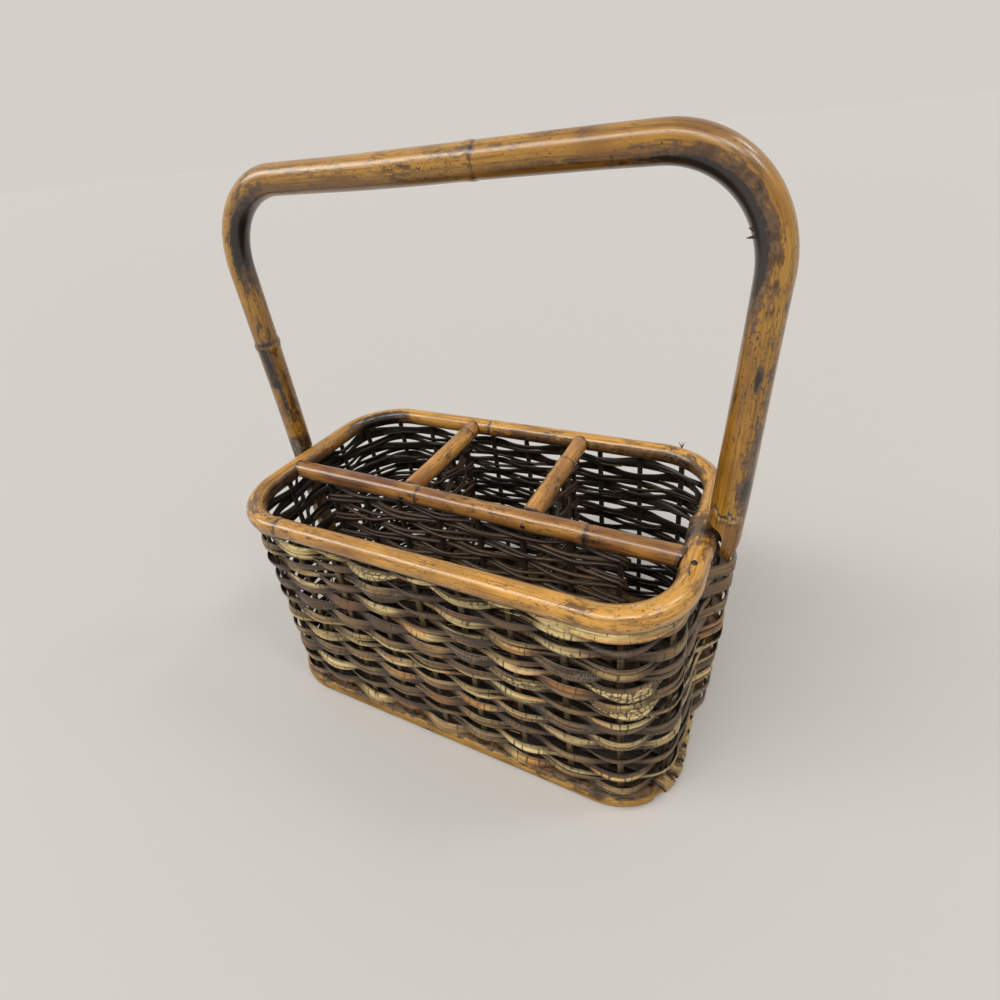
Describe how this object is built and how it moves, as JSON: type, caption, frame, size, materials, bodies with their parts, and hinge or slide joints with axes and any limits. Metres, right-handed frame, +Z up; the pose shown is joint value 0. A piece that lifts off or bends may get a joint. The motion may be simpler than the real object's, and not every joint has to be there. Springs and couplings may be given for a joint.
{
  "type": "cutlery caddy",
  "caption": "Woven cane cutlery caddy: a rounded rectangular basket with a long front compartment, smaller back compartments and a tall fixed handle.",
  "frame": {"origin": "on the table, under the middle of the basket", "axes": "+X along the basket from the left handle leg to the right one, +Y from the long front compartment to the back, +Z up"},
  "size_m": [0.3072, 0.172, 0.3275],
  "materials": {
    "handle_cane": "golden brown varnished cane with scorched bends",
    "rim_cane": "golden tan varnished cane with dark specks",
    "bar_cane": "red-brown varnished cane",
    "binding_cane": "flat split cane, satin",
    "stake_cane": "dark brown cane, satin",
    "weaver_cane": "split cane and bark strips in straw, tan and dark brown, satin",
    "twig": "dark brown twig, satin",
    "nail_steel": "dull steel"
  },
  "bodies": {
    "root": {"handle": "handle_cane", "top_rim": "rim_cane", "long_divider_bar": "bar_cane", "cross_bar_left": "rim_cane", "cross_bar_right": "rim_cane", "base_hoop": "rim_cane", "base_hoop_binding": "binding_cane", "front_stakes": "stake_cane", "back_stakes": "stake_cane", "left_stakes": "stake_cane", "right_stakes": "stake_cane", "weaver_row_01": "weaver_cane", "weaver_row_02": "weaver_cane", "weaver_row_03": "weaver_cane", "weaver_row_04": "weaver_cane", "weaver_row_05": "weaver_cane", "weaver_row_06": "weaver_cane", "weaver_row_07": "weaver_cane", "weaver_row_08": "weaver_cane", "weaver_row_09": "weaver_cane", "weaver_row_10": "weaver_cane", "weaver_row_11": "weaver_cane", "weaver_row_12": "weaver_cane", "weaver_row_13": "weaver_cane", "weaver_row_14": "weaver_cane", "weaver_row_15": "weaver_cane", "weaver_row_16": "weaver_cane", "weaver_row_17": "weaver_cane", "weaver_row_18": "weaver_cane", "long_divider_stakes": "stake_cane", "long_divider_weavers": "twig", "cross_divider_left_stakes": "stake_cane", "cross_divider_left_weavers": "twig", "cross_divider_right_stakes": "stake_cane", "cross_divider_right_weavers": "twig", "base_sticks": "stake_cane", "base_weavers": "twig", "bar_nails": "nail_steel", "rim_nail": "nail_steel", "handle_nails": "nail_steel"}
  },
  "joints": []
}
